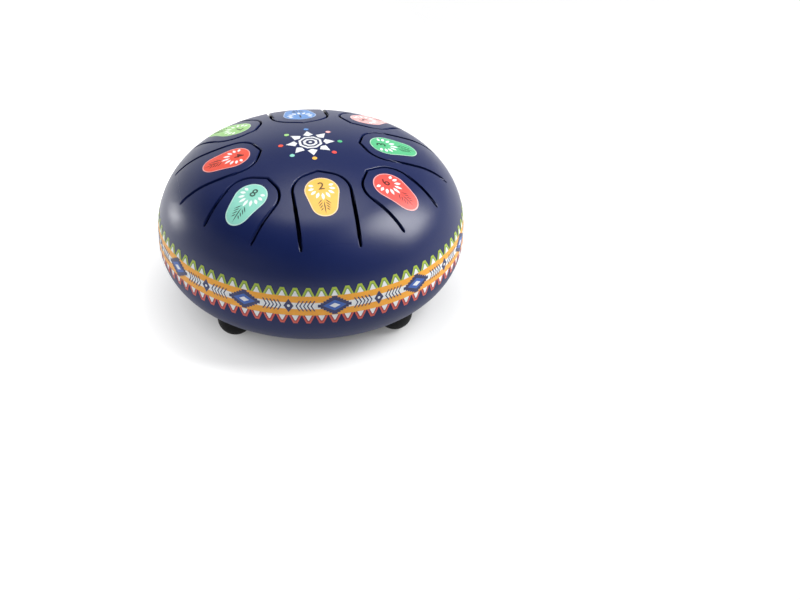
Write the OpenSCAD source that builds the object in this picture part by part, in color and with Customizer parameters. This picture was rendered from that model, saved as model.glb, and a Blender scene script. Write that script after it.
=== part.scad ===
// Steel tongue drum with eight tuned tongues, a printed belt and rubber feet.
// Millimetres, +Z up. The origin is on the drum's axis, on the ground between the feet.
// Note 2's tongue points to the front, which is -Y.

/* [Drum body] */
// Outer diameter at the belt
body_d = 160; // [150:1:190]
// Wall thickness of both pressed shells
wall = 1.5; // [1:0.1:1.8]
// Outer radius of the top's broad crown
crown_r = 148; // [135:1:200]
// Outer radius of the top's shoulder, from the crown to the belt
shoulder_r = 39; // [32:1:46]
// Height of the straight belt between the two shoulders
belt_h = 6; // [4:0.5:14]
// Outer radius of the bowl's bottom crown
bowl_crown_r = 400; // [300:5:600]
// Outer radius of the bowl's shoulder, from the belt to the bottom
bowl_shoulder_r = 27; // [22:0.5:32]

/* [Seam and sound port] */
// Height of the seam above the belt's lower edge
seam_up = 2; // [1:0.1:3]
// Height of the rim that reaches up inside the top
lap_h = 5; // [3:0.1:6]
// Space between the rim and the top's wall, filled by the bond
lap_gap = 0.3; // [0.2:0.05:0.5]
// Clearance of the bond and of the butting edges
bond_gap = 0.03; // [0.02:0.01:0.05]
// Diameter of the round sound port in the bottom
port_d = 40; // [30:1:56]

/* [Tongues] */
// Distance from the belt's outside in to the tongue roots
root_inset = 11.6; // [9:0.1:14]
// Place of the four long tongues' tips, out from the axis, as a share of the belt's radius
long_tip_share = 0.3275; // [0.3:0.0025:0.4]
// Place of the four short tongues' tips, out from the axis, as a share of the belt's radius
short_tip_share = 0.455; // [0.42:0.0025:0.5]
// Width of a tongue between its slots
tongue_w = 28.1; // [24:0.1:29]
// Width of the slots
slot_w = 1.3; // [0.8:0.1:1.6]
// Radius of the arch on each side of a tongue's tip
arch_r = 11.4; // [8:0.1:12]
// Slope of the two edges that meet at the tip
tip_slope = 20; // [12:1:26]
// Relief at the tongue's root, where it flexes
root_gap = 0.05; // [0.04:0.01:0.1]

/* [Printed films] */
// Space between a film and the steel under it
film_gap = 0.05; // [0.03:0.01:0.1]
// Thickness of the films
film_t = 0.2; // [0.1:0.05:0.3]
// Distance from a tongue's tip to its note mark as a share of a short tongue's length
mark_inset_share = 0.153; // [0.1:0.001:0.18]
// Length of a note mark as a share of a short tongue's length
mark_share = 0.769; // [0.6:0.001:0.8]
// Radius of a note mark's broad end, towards the tip, as a share of the mark's length
mark_broad_share = 0.354; // [0.3:0.002:0.38]
// Radius of a note mark's narrow end as a share of the mark's length
mark_narrow_share = 0.272; // [0.2:0.002:0.3]
// Radius of the circle that the colour dots lie on
dot_ring_r = 15.3; // [14:0.1:17]
// Radius of the centre star's points as a share of the dots' circle
star_share = 0.84; // [0.6:0.01:0.86]
// Radius of the notches between the star's points as a share of its points' radius
star_notch_share = 0.63; // [0.5:0.01:0.75]
// Diameter of a colour dot
dot_d = 2.6; // [1.5:0.1:3]
// Height of the printed belt from tooth tips to tooth tips
print_h = 20.4; // [16:0.1:24]
// Height of the printed belt's middle above the belt's lower edge
print_up = 5.4; // [3:0.1:7]

/* [Feet] */
// Radius of a foot's ball
foot_r = 9.2; // [7:0.1:11]
// Depth of the flat that each foot stands on
foot_flat = 0.5; // [0.3:0.1:1]
// Depth of the ball's centre behind the bowl's outer surface
foot_sink = 0.9; // [0.4:0.1:2]
// Lean of a foot's axis from upright
foot_lean = 11.7; // [10:0.1:20]
// Turn of the bowl and its feet against the tongues
bowl_turn = -6; // [-20:1:20]
// Radius of the stem through the bowl's wall
stem_r = 2.5; // [2:0.1:3]
// Clearance between the stem and its hole
stem_gap = 0.05; // [0.03:0.01:0.1]
// Radius of the barb that holds the foot from inside
barb_r = 3.6; // [3.3:0.1:4.5]
// Height of the barb
barb_h = 3.4; // [2:0.1:5]

/* [Hidden] */
$fn = 96;

// Overrun of every cut past what it cuts
over = 1;
// Number of tongues and the angle between two of them
tongue_count = 8;
tongue_step = 360 / tongue_count;
// Number of feet and the angle between two of them
foot_count = 4;
foot_step = 360 / foot_count;
// Points on the centre star
star_points = 8;
// Straight steps that a crown's and a shoulder's arc are turned in
crown_steps = 10;
shoulder_steps = 20;
// Straight steps in a tongue's arch and in the two ends of a note mark
arch_steps = 8;
broad_steps = 24;
narrow_steps = 16;

// Place of each note around the drum, in steps to the right of the front
note_steps = [4, 0, 2, 6, 3, 1, 5, 7];
note_colours = [
    "cornflowerblue", "gold", "mediumseagreen", "tomato", "pink", "crimson", "yellowgreen", "aquamarine"
];
steel_colour = "midnightblue";

body_r = body_d / 2;
root_r = body_r - root_inset;
tongue_half_w = tongue_w / 2;
long_tip_r = long_tip_share * body_r;
short_tip_r = short_tip_share * body_r;

// All note marks have the size that a short tongue carries
short_tongue_l = root_r - short_tip_r;
mark_inset = mark_inset_share * short_tongue_l;
mark_l = mark_share * short_tongue_l;
mark_broad_r = mark_broad_share * mark_l;
mark_narrow_r = mark_narrow_share * mark_l;

// The centre star, sized from the circle of dots around it
star_r = star_share * dot_ring_r;
star_notch_r = star_notch_share * star_r;

// Height of a pressed pan whose crown and shoulder meet without an edge
function pan_h(crown, shoulder) =
    crown - sqrt(pow(crown - shoulder, 2) - pow(body_r - shoulder, 2));

// Angle from the axis at which the crown gives way to the shoulder
function pan_turn(crown, shoulder) = asin((body_r - shoulder) / (crown - shoulder));

dome_h = pan_h(crown_r, shoulder_r);

// A foot's ball centre, found from the bowl's shoulder that carries it
ball_arm = bowl_shoulder_r - foot_sink;
ball_z = foot_r - foot_flat;
ball_out = body_r - bowl_shoulder_r + ball_arm * sin(foot_lean);

belt_low_z = ball_z + ball_arm * cos(foot_lean);
belt_top_z = belt_low_z + belt_h;
seam_z = belt_low_z + seam_up;

// The rim that stands inside the top
rim_outer_r = body_r - wall - lap_gap;
rim_inner_r = rim_outer_r - wall;
rim_top_z = seam_z + lap_h;

// Height of the barb's shoulder over the outer surface: the wall, its clearance
// and the rise of the hollow wall within the barb's radius
barb_seat = wall + stem_gap + pow(barb_r, 2) / (2 * (bowl_shoulder_r - wall));

// A list of points in the other order
function reversed(points) = [for (i = [len(points) - 1 : -1 : 0]) points[i]];

// Points on an arc, from one angle to another, both measured from upright
function arc_line(centre, r, from, to, steps) =
    [for (i = [0 : steps])
        let (angle = from + (to - from) * i / steps)
        centre + r * [sin(angle), cos(angle)]];

// Half outline of a pan's skin at an offset from its outer surface, from the axis
// out to the straight wall. Its lower end is on the X axis.
function pan_line(crown, shoulder, offset) =
    let (turn = pan_turn(crown, shoulder), height = pan_h(crown, shoulder))
    concat(
        arc_line([0, height - crown], crown + offset, 0, turn, crown_steps),
        arc_line([body_r - shoulder, 0], shoulder + offset, turn + 90 / shoulder_steps, 90,
            shoulder_steps)
    );

// Half outline of the top at an offset, from the axis out
function dome_line(offset) =
    [for (p = pan_line(crown_r, shoulder_r, offset)) [p[0], belt_top_z + p[1]]];

// Half outline of the bowl at an offset, from the axis out
function bowl_line(offset) =
    [for (p = pan_line(bowl_crown_r, bowl_shoulder_r, offset)) [p[0], belt_low_z - p[1]]];

// Half section of the top's skin between two offsets, down to the belt
module dome_section(low, high) {
    polygon(concat(dome_line(high), reversed(dome_line(low))));
}

// Turns its children from the +X axis to a place counted in degrees right of the front
module around(angle) {
    rotate([0, 0, angle - 90])
        children();
}

// Outline of a tongue, pointing to the axis, widened all round by a slot or by nothing
module tongue_outline(tip, widen, end_r) {
    side = tongue_half_w - arch_r;
    arch_u = tip + (arch_r + side * sin(tip_slope)) / cos(tip_slope);
    arch = arc_line([arch_u, side], arch_r + widen, tip_slope - 90, 0, arch_steps);
    half_w = tongue_half_w + widen;
    polygon(concat(
        [[tip - widen / cos(tip_slope), 0]],
        arch,
        [[end_r, half_w], [end_r, -half_w]],
        [for (p = reversed(arch)) [p[0], -p[1]]]
    ));
}

// Cuts one tongue and its slot out of the top, with round slot ends
module tongue_cut(tip) {
    translate([0, 0, belt_top_z])
        linear_extrude(dome_h + over)
            tongue_outline(tip, slot_w, root_r);
    for (hand = [-1, 1])
        translate([root_r, hand * (tongue_half_w + slot_w / 2), belt_top_z])
            cylinder(h = dome_h + over, r = slot_w / 2);
}

// Distance from the axis to the tip of the tongue that stands a number of steps from the front
function tongue_tip(step) = step % 2 == 0 ? long_tip_r : short_tip_r;

// Top pan with its eight slots
module upper_shell() {
    color(steel_colour)
        difference() {
            rotate_extrude()
                polygon(concat(
                    dome_line(0),
                    [[body_r, seam_z + bond_gap], [body_r - wall, seam_z + bond_gap]],
                    reversed(dome_line(-wall))
                ));
            for (step = [0 : tongue_count - 1])
                around(step * tongue_step)
                    tongue_cut(tongue_tip(step));
        }
}

// One tongue, the part of the top's wall inside its slot
module tongue(note) {
    step = note_steps[note - 1];
    color(steel_colour)
        intersection() {
            rotate_extrude()
                dome_section(-wall, 0);
            around(step * tongue_step)
                translate([0, 0, belt_top_z])
                    linear_extrude(dome_h + over)
                        tongue_outline(tongue_tip(step), 0, root_r - root_gap);
        }
}

// Bottom bowl with its rim, sound port and foot holes
module lower_shell() {
    color(steel_colour)
        difference() {
            rotate_extrude()
                polygon(concat(
                    bowl_line(0),
                    [
                        [body_r, seam_z],
                        [rim_outer_r, seam_z],
                        [rim_outer_r, rim_top_z],
                        [rim_inner_r, rim_top_z],
                        [rim_inner_r, seam_z - wall],
                        [body_r - wall, seam_z - 2 * wall]
                    ],
                    reversed(bowl_line(-wall))
                ));
            cylinder(h = belt_low_z, d = port_d);
            for (i = [0 : foot_count - 1])
                foot_axis(i)
                    cylinder(h = 2 * foot_r, r = stem_r + stem_gap, center = true);
        }
}

// Adhesive between the rim and the top's wall
module seam_bond() {
    color("dimgray")
        rotate_extrude()
            translate([rim_outer_r + bond_gap, seam_z + bond_gap])
                square([lap_gap - 2 * bond_gap, belt_top_z - seam_z - 2 * bond_gap]);
}

// Half section of the printed belt: it covers the seam and follows both shoulders
module print_section() {
    low_z = belt_low_z + print_up - print_h / 2;
    high_z = low_z + print_h;
    intersection() {
        polygon(concat(
            dome_line(film_gap + film_t),
            reversed(bowl_line(film_gap + film_t)),
            bowl_line(film_gap),
            reversed(dome_line(film_gap))
        ));
        translate([body_r / 2, low_z])
            square([body_r, high_z - low_z]);
    }
}

// Printed belt around the seam
module pattern_band() {
    color("orange")
        rotate_extrude()
            print_section();
}

// Thin skin over the crown, cut to the outline of its children
module crown_film() {
    intersection() {
        rotate_extrude()
            dome_section(film_gap, film_gap + film_t);
        translate([0, 0, belt_top_z])
            linear_extrude(dome_h + over)
                children();
    }
}

// Drop-shaped outline with a broad end towards the axis and straight sides
module mark_outline(start_r) {
    span = mark_l - mark_broad_r - mark_narrow_r;
    flare = acos((mark_broad_r - mark_narrow_r) / span);
    broad = [start_r + mark_broad_r, 0];
    narrow = broad + [span, 0];
    polygon(concat(
        arc_line(broad, mark_broad_r, 90 - flare, flare - 270, broad_steps),
        arc_line(narrow, mark_narrow_r, 90 + flare, 90 - flare, narrow_steps)
    ));
}

// Printed mark of one note, on its tongue
module note_mark(note) {
    step = note_steps[note - 1];
    color(note_colours[note - 1])
        crown_film()
            around(step * tongue_step)
                mark_outline(tongue_tip(step) + mark_inset);
}

// Printed star in the middle of the crown
module centre_star() {
    half_step = 180 / star_points;
    color("white")
        crown_film()
            polygon([
                for (i = [0 : 2 * star_points - 1])
                    (i % 2 == 0 ? star_r : star_notch_r) * [sin(i * half_step), cos(i * half_step)]
            ]);
}

// Printed dots around the star, one towards each tongue
module colour_dots() {
    color("white")
        crown_film()
            for (step = [0 : tongue_count - 1])
                around(step * tongue_step)
                    translate([dot_ring_r, 0])
                        circle(d = dot_d);
}

// Moves its children to a foot: the ball's centre is at their origin and +Z goes into the drum
module foot_axis(i) {
    around(bowl_turn + (i + 0.5) * foot_step)
        translate([ball_out, 0, ball_z])
            rotate([0, -foot_lean, 0])
                children();
}

// One rubber foot: a ball seated on the bowl, with a stem and a barb pushed through its wall
module foot(i) {
    color("black") {
        difference() {
            foot_axis(i)
                sphere(foot_r);
            rotate_extrude()
                polygon(concat(bowl_line(stem_gap), [[0, belt_low_z]]));
            translate([0, 0, -body_d])
                linear_extrude(body_d)
                    square(2 * body_d, center = true);
        }
        foot_axis(i) {
            translate([0, 0, -foot_r / 2])
                cylinder(h = foot_r / 2 - foot_sink + barb_seat + barb_h / 2, r = stem_r);
            translate([0, 0, barb_seat - foot_sink])
                cylinder(h = barb_h, r1 = barb_r, r2 = stem_r);
        }
    }
}

upper_shell();
lower_shell();
seam_bond();
pattern_band();
centre_star();
colour_dots();
tongue(1);  // tongue_1
tongue(2);  // tongue_2
tongue(3);  // tongue_3
tongue(4);  // tongue_4
tongue(5);  // tongue_5
tongue(6);  // tongue_6
tongue(7);  // tongue_7
tongue(8);  // tongue_8
note_mark(1);  // note_mark_1
note_mark(2);  // note_mark_2
note_mark(3);  // note_mark_3
note_mark(4);  // note_mark_4
note_mark(5);  // note_mark_5
note_mark(6);  // note_mark_6
note_mark(7);  // note_mark_7
note_mark(8);  // note_mark_8
foot(0);  // foot_1
foot(1);  // foot_2
foot(2);  // foot_3
foot(3);  // foot_4
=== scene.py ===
"""A steel tongue drum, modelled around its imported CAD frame.

Shapes are built in millimetres in the drum's own frame: +Z up, the origin on the ground
under the axis, and the tongue of note 2 towards the front, -Y. They are scaled to metres
when a piece is finished.
"""

import logging
import math
from dataclasses import dataclass
from enum import Enum
from typing import Callable, Optional, Sequence

import bmesh
import bpy
from mathutils import Matrix, Vector

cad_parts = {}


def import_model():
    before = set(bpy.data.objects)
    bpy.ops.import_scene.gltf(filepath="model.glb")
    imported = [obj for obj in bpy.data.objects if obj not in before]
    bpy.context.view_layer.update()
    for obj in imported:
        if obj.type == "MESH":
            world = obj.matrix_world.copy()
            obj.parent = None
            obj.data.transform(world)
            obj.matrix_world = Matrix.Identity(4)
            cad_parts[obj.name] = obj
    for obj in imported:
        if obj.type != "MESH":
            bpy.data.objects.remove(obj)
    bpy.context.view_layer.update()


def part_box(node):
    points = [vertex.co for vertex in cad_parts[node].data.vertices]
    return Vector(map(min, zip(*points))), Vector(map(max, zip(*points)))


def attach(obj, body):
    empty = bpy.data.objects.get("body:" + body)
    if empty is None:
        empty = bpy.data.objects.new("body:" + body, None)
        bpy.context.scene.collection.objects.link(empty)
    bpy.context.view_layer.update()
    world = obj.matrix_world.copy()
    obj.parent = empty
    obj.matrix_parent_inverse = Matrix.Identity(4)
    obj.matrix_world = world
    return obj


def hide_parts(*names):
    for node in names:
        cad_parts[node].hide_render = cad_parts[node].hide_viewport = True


LOG = logging.getLogger("tongue_drum")

Point = tuple[float, float]
Outline = list[Point]
Colour = tuple[float, float, float]
Place = Callable[[Vector], Vector]
BMesh = bmesh.types.BMesh
Socket = bpy.types.NodeSocket

MM = 0.001
TONGUES = 8
TONGUE_TURN = 360 / TONGUES
# Place of each note around the drum, in tongues to the right of the front
NOTE_STEPS = (4, 0, 2, 6, 3, 1, 5, 7)
# Distances in millimetres within which corners are merged, lie on a cut or lie on the axis
MERGE_DIST = 1e-4
CUT_DIST = 1e-5
AXIS_DIST = 1e-6
# Angle in degrees from which an edge stays sharp
SHARP_ANGLE = 32.0
# Cosine of the angle to a pan's form within which a face is part of its skin
SKIN_COSINE = 0.985


def linear(red: int, green: int, blue: int) -> Colour:
    """Turns a screen colour from 0 to 255 into the linear colour that shaders use.

    Args:
        red: Red as seen on a screen.
        green: Green as seen on a screen.
        blue: Blue as seen on a screen.

    Returns:
        The linear red, green and blue.
    """
    def channel(value: int) -> float:
        """Linear light of one screen channel."""
        share = value / 255
        return share / 12.92 if share <= 0.04045 else ((share + 0.055) / 1.055) ** 2.4

    return channel(red), channel(green), channel(blue)


def scaled(colour: Colour, share: float) -> Colour:
    """A colour with its light scaled."""
    return tuple(channel * share for channel in colour)


def paler(colour: Colour, share: float) -> Colour:
    """A colour part of the way to white."""
    return tuple(channel + (1 - channel) * share for channel in colour)


# Form of the drum


@dataclass(frozen=True)
class Pan:
    """Outer skin of one pressed pan in millimetres, with heights over its straight belt."""

    crown_r: float
    shoulder_r: float
    body_r: float = 80.0
    crown_steps: int = 24
    shoulder_steps: int = 28

    @property
    def centre_r(self) -> float:
        """Distance from the axis to the centre of the shoulder's arc."""
        return self.body_r - self.shoulder_r

    @property
    def height(self) -> float:
        """Height of the pan's middle."""
        reach = self.crown_r - self.shoulder_r
        return self.crown_r - math.sqrt(reach ** 2 - self.centre_r ** 2)

    @property
    def crown_z(self) -> float:
        """Height of the centre of the crown's arc."""
        return self.height - self.crown_r

    def skin_z(self, r: float, lift: float) -> float:
        """Height of the skin at a radius.

        Args:
            r: Distance from the axis.
            lift: Offset of the skin from the outer surface.

        Returns:
            The height over the end of the straight belt.
        """
        change_r = self.centre_r * (self.crown_r + lift) / (self.crown_r - self.shoulder_r)
        if r <= change_r:
            return self.crown_z + math.sqrt((self.crown_r + lift) ** 2 - r * r)
        rise = (self.shoulder_r + lift) ** 2 - (r - self.centre_r) ** 2
        return math.sqrt(max(rise, 0.0))

    def skin_r(self, z: float, lift: float) -> float:
        """Radius of the shoulder's skin at a height."""
        return self.centre_r + math.sqrt((self.shoulder_r + lift) ** 2 - z ** 2)

    def facing(self, r: float, z: float) -> Point:
        """Direction in which the skin faces at a place on or near it.

        Args:
            r: Distance from the axis.
            z: Height over the end of the straight belt.

        Returns:
            The direction's parts away from the axis and up, of any length.
        """
        rise = z - self.crown_z
        if -self.crown_z * r <= self.centre_r * rise:
            return r, rise
        return r - self.centre_r, z

    def line(self, lift: float, from_r: float = 0.0) -> Outline:
        """Half outline of the skin.

        Args:
            lift: Offset of the skin from the outer surface.
            from_r: Distance from the axis at which the outline starts.

        Returns:
            Radius and height of its points, out to the straight belt.
        """
        crown, shoulder = self.crown_r + lift, self.shoulder_r + lift
        turn = math.asin(self.centre_r / (self.crown_r - self.shoulder_r))
        start = math.asin(from_r / crown)
        points = []
        for i in range(self.crown_steps + 1):
            angle = start + (turn - start) * i / self.crown_steps
            points.append((crown * math.sin(angle), self.crown_z + crown * math.cos(angle)))
        for i in range(1, self.shoulder_steps + 1):
            angle = turn + (math.pi / 2 - turn) * i / self.shoulder_steps
            points.append((self.centre_r + shoulder * math.sin(angle), shoulder * math.cos(angle)))
        return points


@dataclass(frozen=True)
class DrumForm:
    """Outer form of the drum in millimetres, as the CAD solids have it."""

    belt_low: float
    belt_h: float = 6.0
    wall: float = 1.5
    seam_up: float = 2.0
    top_pan: Pan = Pan(crown_r=148.0, shoulder_r=39.0)
    bowl_pan: Pan = Pan(crown_r=400.0, shoulder_r=27.0)

    @classmethod
    def reaching(cls, crown_z: float) -> "DrumForm":
        """The form whose top reaches up to a height."""
        return cls(belt_low=crown_z - cls.belt_h - cls.top_pan.height)

    @property
    def body_r(self) -> float:
        """Radius of the straight belt."""
        return self.top_pan.body_r

    @property
    def belt_top(self) -> float:
        """Height of the belt's upper edge."""
        return self.belt_low + self.belt_h

    @property
    def seam_z(self) -> float:
        """Height at which the two pans meet."""
        return self.belt_low + self.seam_up

    def top_z(self, r: float, lift: float = 0.0) -> float:
        """Height of the top's skin at a radius and an offset."""
        return self.belt_top + self.top_pan.skin_z(r, lift)

    def bowl_z(self, r: float, lift: float = 0.0) -> float:
        """Height of the bowl's skin at a radius and an offset."""
        return self.belt_low - self.bowl_pan.skin_z(r, lift)

    def on_top(self, x: float, y: float, lift: float) -> Vector:
        """The place over the top's skin that is above a place in plan."""
        return Vector((x, y, self.top_z(math.hypot(x, y), lift)))

    def pan_at(self, z: float) -> tuple[Pan, float]:
        """The pan that a height beyond the belt belongs to.

        Args:
            z: Height in the drum's frame.

        Returns:
            The pan, and how far beyond the belt the height is.
        """
        if z > self.belt_top:
            return self.top_pan, z - self.belt_top
        return self.bowl_pan, self.belt_low - z

    def side_r(self, z: float, lift: float) -> float:
        """Radius of the side's skin at a height near the belt.

        Args:
            z: Height in the drum's frame.
            lift: Offset of the skin from the outer surface.

        Returns:
            The distance of the skin from the axis.
        """
        if self.belt_low <= z <= self.belt_top:
            return self.body_r + lift
        pan, beyond = self.pan_at(z)
        return pan.skin_r(beyond, lift)

    def top_line(self, lift: float) -> Outline:
        """Half outline of the top's skin, from the axis out."""
        return [(r, self.belt_top + z) for r, z in self.top_pan.line(lift)]

    def bowl_line(self, lift: float, from_r: float = 0.0) -> Outline:
        """Half outline of the bowl's skin, from a radius out."""
        return [(r, self.belt_low - z) for r, z in self.bowl_pan.line(lift, from_r)]

    def skin_normal(self, place: Vector) -> Vector:
        """Direction in which the skin of the drum faces at a place.

        Args:
            place: A point on or near a skin, in millimetres.

        Returns:
            A unit vector away from the inside of the drum.
        """
        r = math.hypot(place.x, place.y)
        out = Vector((place.x, place.y, 0)) / r if r > AXIS_DIST else Vector((1, 0, 0))
        if self.belt_low <= place.z <= self.belt_top:
            return out
        pan, beyond = self.pan_at(place.z)
        across, rise = pan.facing(r, beyond)
        up = Vector((0, 0, 1 if pan is self.top_pan else -1))
        return (out * across + up * rise).normalized()


def both_sides(right: Outline) -> Outline:
    """Closes the right half of a tongue's outline with its mirror image."""
    return right + [(u, -v) for u, v in reversed(right[1:])]


@dataclass(frozen=True)
class TonguePlan:
    """Outline of the tongues in plan, in millimetres, in a tongue's own axes.

    u runs out from the axis along the middle of the tongue, and v runs to its right as
    seen from the rim.
    """

    root_r: float = 68.4
    long_tip_r: float = 26.2
    short_tip_r: float = 36.4
    half_w: float = 14.05
    slot_w: float = 1.3
    arch_r: float = 11.4
    tip_slope: float = 20.0
    root_gap: float = 0.03
    arch_steps: int = 14
    end_steps: int = 6

    def tip_r(self, step: int) -> float:
        """Distance from the axis to a tongue's tip."""
        return self.long_tip_r if step % 2 == 0 else self.short_tip_r

    def side(self, tip: float, widen: float) -> Outline:
        """The tongue's right edge.

        Args:
            tip: Distance from the axis to the tip.
            widen: Distance by which the tongue is widened.

        Returns:
            The points of the edge from the tip to the root.
        """
        slope = math.radians(self.tip_slope)
        centre_v = self.half_w - self.arch_r
        centre_u = tip + (self.arch_r + centre_v * math.sin(slope)) / math.cos(slope)
        line = [(tip - widen / math.cos(slope), 0.0)]
        for i in range(self.arch_steps + 1):
            angle = (slope - math.pi / 2) * (1 - i / self.arch_steps)
            line.append((centre_u + (self.arch_r + widen) * math.sin(angle),
                         centre_v + (self.arch_r + widen) * math.cos(angle)))
        line.append((self.root_r, self.half_w + widen))
        return line

    def plate(self, tip: float, shrink: float) -> Outline:
        """Outline of a tongue's plate.

        Args:
            tip: Distance from the axis to the tip.
            shrink: Distance by which the outline is drawn in, except at the root.

        Returns:
            The closed outline.
        """
        right = self.side(tip, -shrink)
        right[-1] = (self.root_r - self.root_gap, right[-1][1])
        return both_sides(right)

    def cut(self, tip: float, widen: float) -> Outline:
        """Outline of a tongue with its slot and the slot's round ends.

        Args:
            tip: Distance from the axis to the tip.
            widen: Distance by which the slot's outer edge is moved out.

        Returns:
            The closed outline.
        """
        right = self.side(tip, self.slot_w + widen)
        end_v = self.half_w + self.slot_w / 2
        end_r = self.slot_w / 2 + widen
        for i in range(1, self.end_steps + 1):
            angle = math.pi * i / self.end_steps
            right.append((self.root_r + end_r * math.sin(angle), end_v + end_r * math.cos(angle)))
        return both_sides(right)


def around(u: float, v: float, turn: float) -> Point:
    """Turns a place from a tongue's own axes to the drum's.

    Args:
        u: Distance from the axis.
        v: Distance to the right, as seen from the rim.
        turn: Degrees to the right of the front.

    Returns:
        The place in the drum's plan.
    """
    angle = math.radians(turn)
    return (u * math.sin(angle) + v * math.cos(angle), v * math.sin(angle) - u * math.cos(angle))


def polar(r: float, turn: float) -> Point:
    """A place in the drum's plan, in degrees to the right of the front."""
    return around(r, 0.0, turn)


def note_turn(note: int) -> float:
    """Degrees from the front to the tongue of a note."""
    return NOTE_STEPS[note - 1] * TONGUE_TURN


# Tools for meshes


class Carving(Enum):
    """How one solid acts on another."""

    CUT = "DIFFERENCE"
    KEEP = "INTERSECT"
    JOIN = "UNION"


@dataclass(frozen=True)
class FilmLayer:
    """Height of a printed layer over the steel in millimetres."""

    low: float
    high: float


class Layers(Enum):
    """The printed layers, each a hair higher than the one under it."""

    GROUND = FilmLayer(0.05, 0.09)
    COLOUR = FilmLayer(0.085, 0.125)
    FIGURE = FilmLayer(0.12, 0.16)
    DETAIL = FilmLayer(0.155, 0.195)
    TOP = FilmLayer(0.19, 0.225)


@dataclass(frozen=True)
class Label:
    """What a piece is called, what carries it and what it stands for."""

    name: str
    body: str
    slot: str
    nodes: tuple[str, ...]


def linked(name: str, data: bpy.types.ID) -> bpy.types.Object:
    """Adds an object to the scene.

    Args:
        name: The object's name.
        data: The mesh, curve, camera or light that it shows.

    Returns:
        The object.
    """
    obj = bpy.data.objects.new(name, data)
    bpy.context.scene.collection.objects.link(obj)
    return obj


def mesh_of(bm: BMesh, name: str) -> bpy.types.Mesh:
    """Turns a mesh that is being worked on into mesh data.

    Args:
        bm: The mesh. It is freed.
        name: The data's name.

    Returns:
        The mesh data.
    """
    mesh = bpy.data.meshes.new(name)
    bm.to_mesh(mesh)
    bm.free()
    return mesh


def applied(obj: bpy.types.Object) -> BMesh:
    """Reads the mesh of an object with its modifiers.

    Args:
        obj: An object in the scene, which stays as it is.

    Returns:
        The mesh, ready for work.
    """
    bpy.context.view_layer.update()
    evaluated = obj.evaluated_get(bpy.context.evaluated_depsgraph_get())
    bm = bmesh.new()
    bm.from_mesh(evaluated.to_mesh())
    evaluated.to_mesh_clear()
    return bm


def lathe(points: Sequence[Point], segments: int, closed: bool) -> BMesh:
    """Turns a half section around the drum's axis.

    Args:
        points: Radius and height of each corner of the section.
        segments: Steps of the full turn.
        closed: Whether the section's last point joins its first.

    Returns:
        The turned solid.
    """
    bm = bmesh.new()
    corners = [bm.verts.new((r, 0, z)) for r, z in points]
    pairs = list(zip(corners, corners[1:]))
    if closed:
        pairs.append((corners[-1], corners[0]))
    edges = [bm.edges.new(pair) for pair in pairs]
    bmesh.ops.spin(bm, geom=corners + edges, cent=(0, 0, 0), axis=(0, 0, 1),
                   angle=2 * math.pi, steps=segments, use_merge=True)
    bmesh.ops.remove_doubles(bm, verts=bm.verts, dist=MERGE_DIST)
    bmesh.ops.recalc_face_normals(bm, faces=bm.faces)
    return bm


def ring(bm: BMesh, points: Sequence[Vector]) -> list[bmesh.types.BMEdge]:
    """Adds a closed ring of edges through some points."""
    corners = [bm.verts.new(point) for point in points]
    return [bm.edges.new(pair) for pair in zip(corners, corners[1:] + corners[:1])]


def stack(rings: Sequence[Sequence[Vector]]) -> BMesh:
    """Joins rings of points, one over the other, into a closed solid.

    Args:
        rings: Rings with the same number of points. The first and the last are flat.

    Returns:
        The solid, with its two ends filled.
    """
    bm = bmesh.new()
    loops = [ring(bm, points) for points in rings]
    for low, high in zip(loops, loops[1:]):
        bmesh.ops.bridge_loops(bm, edges=low + high)
    bmesh.ops.contextual_create(bm, geom=loops[0])
    bmesh.ops.contextual_create(bm, geom=loops[-1])
    bmesh.ops.recalc_face_normals(bm, faces=bm.faces)
    return bm


def joined(parts: Sequence[BMesh]) -> BMesh:
    """Puts several meshes that don't touch into one.

    Args:
        parts: The meshes. They are freed.

    Returns:
        The one mesh.
    """
    bm = bmesh.new()
    for part in parts:
        mesh = mesh_of(part, "part")
        bm.from_mesh(mesh)
        bpy.data.meshes.remove(mesh)
    return bm


def carved(solid: BMesh, tool: BMesh, how: Carving) -> BMesh:
    """Cuts, keeps or joins one closed solid with another.

    Args:
        solid: The solid that is worked on. It is freed.
        tool: The solid that works on it. It is freed.
        how: What the tool does.

    Returns:
        The new solid.
    """
    objects = [linked("solid", mesh_of(solid, "solid")), linked("tool", mesh_of(tool, "tool"))]
    boolean = objects[0].modifiers.new("carve", "BOOLEAN")
    boolean.operation = how.value
    boolean.solver = "EXACT"
    boolean.object = objects[1]
    result = applied(objects[0])
    for obj in objects:
        mesh = obj.data
        bpy.data.objects.remove(obj)
        bpy.data.meshes.remove(mesh)
    return result


def gridded(bm: BMesh, cell: float) -> BMesh:
    """Cuts a flat mesh along a grid of lines, so that it can follow a curve.

    Args:
        bm: The flat mesh. It is changed.
        cell: Largest width of a cell.

    Returns:
        The same mesh, facing up.
    """
    for axis in (0, 1):
        low = min(vert.co[axis] for vert in bm.verts)
        high = max(vert.co[axis] for vert in bm.verts)
        lines = int((high - low) / cell)
        for i in range(1, lines + 1):
            place = Vector((0, 0, 0))
            place[axis] = low + (high - low) * i / (lines + 1)
            direction = Vector((0, 0, 0))
            direction[axis] = 1
            bmesh.ops.bisect_plane(bm, geom=bm.verts[:] + bm.edges[:] + bm.faces[:],
                                   dist=CUT_DIST, plane_co=place, plane_no=direction)
    for face in bm.faces:
        if face.normal.z < 0:
            face.normal_flip()
    return bm


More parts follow.
